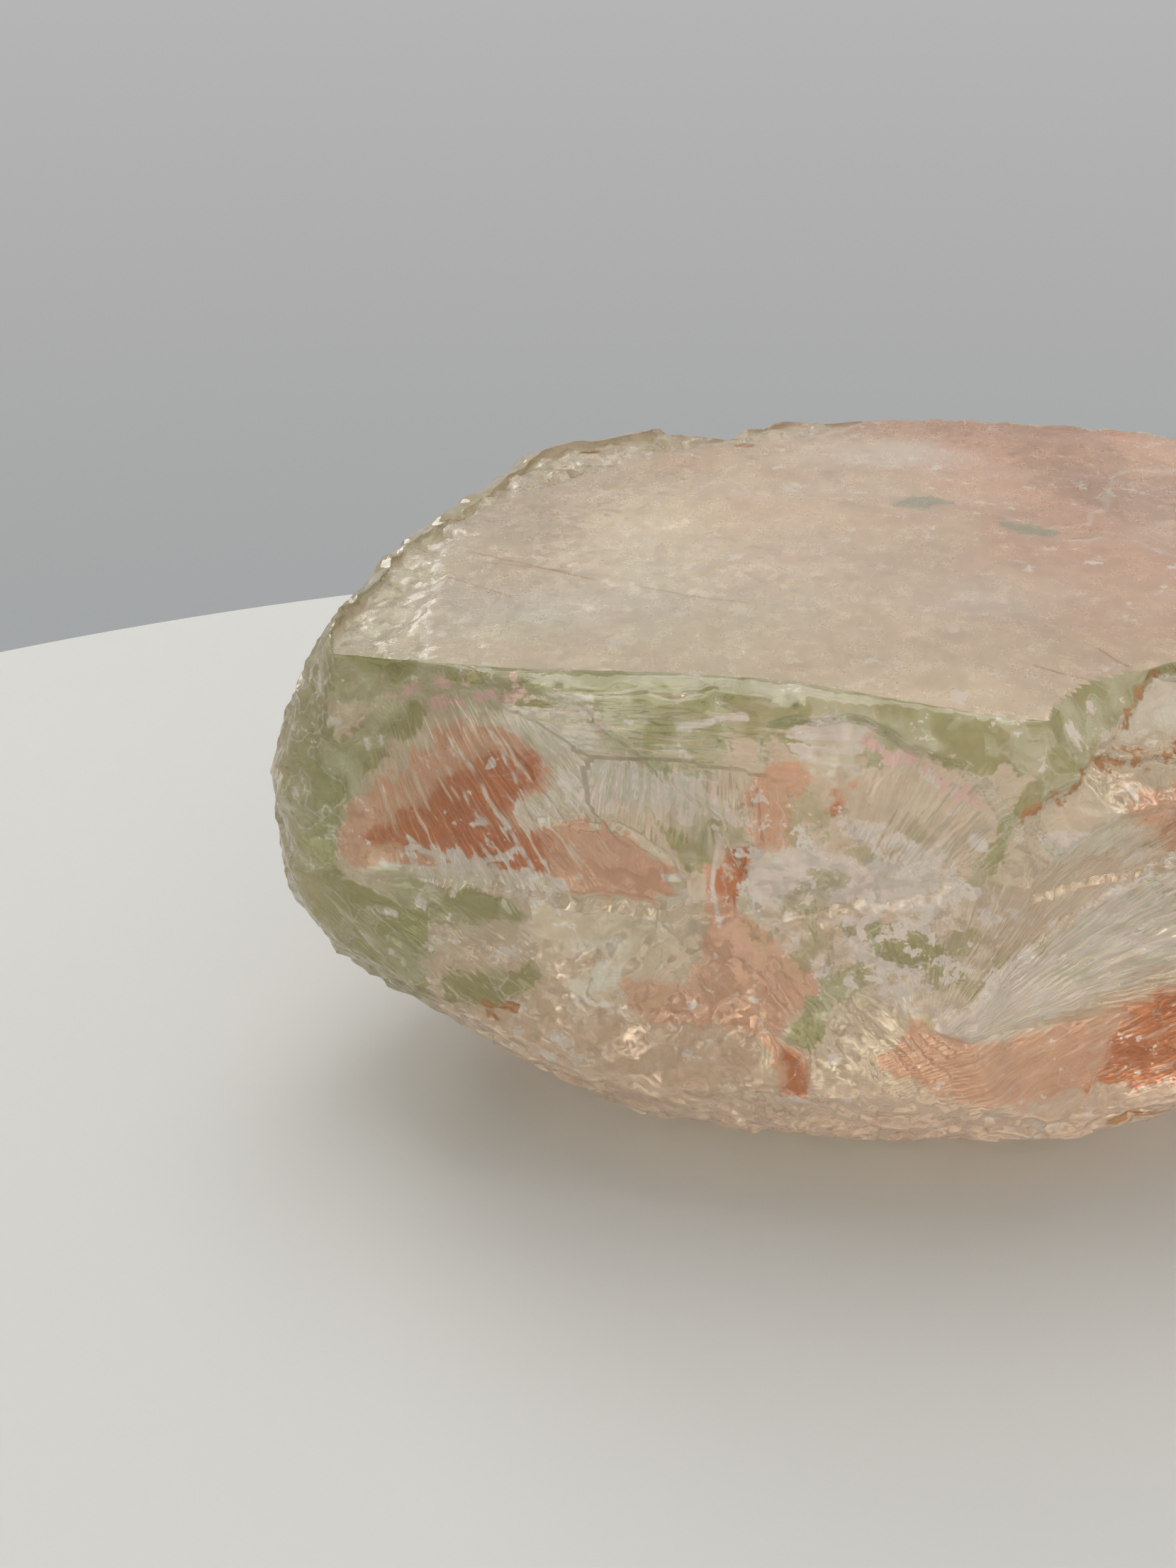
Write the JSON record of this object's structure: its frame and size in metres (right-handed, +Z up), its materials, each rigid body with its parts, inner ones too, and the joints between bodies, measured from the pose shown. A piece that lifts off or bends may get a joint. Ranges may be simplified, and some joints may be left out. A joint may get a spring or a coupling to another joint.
{
  "type": "rough beryl",
  "caption": "Rough two-coloured beryl crystal fragment: clear green and pink, flat frosted crystal face on top, glassy shell-broken sides, stands free on a small flat spot",
  "frame": {"origin": "middle of the stone's box, on the ground it stands on", "axes": "+X along the stone's long way, -Y towards the viewer of the glassy broken side, +Z up"},
  "size_m": [0.0621, 0.0462, 0.0321],
  "materials": {
    "beryl_crystal": "clear glassy fracture below, frosted etched crystal face on top"
  },
  "bodies": {
    "root": {"rough_beryl": "beryl_crystal"}
  },
  "joints": []
}
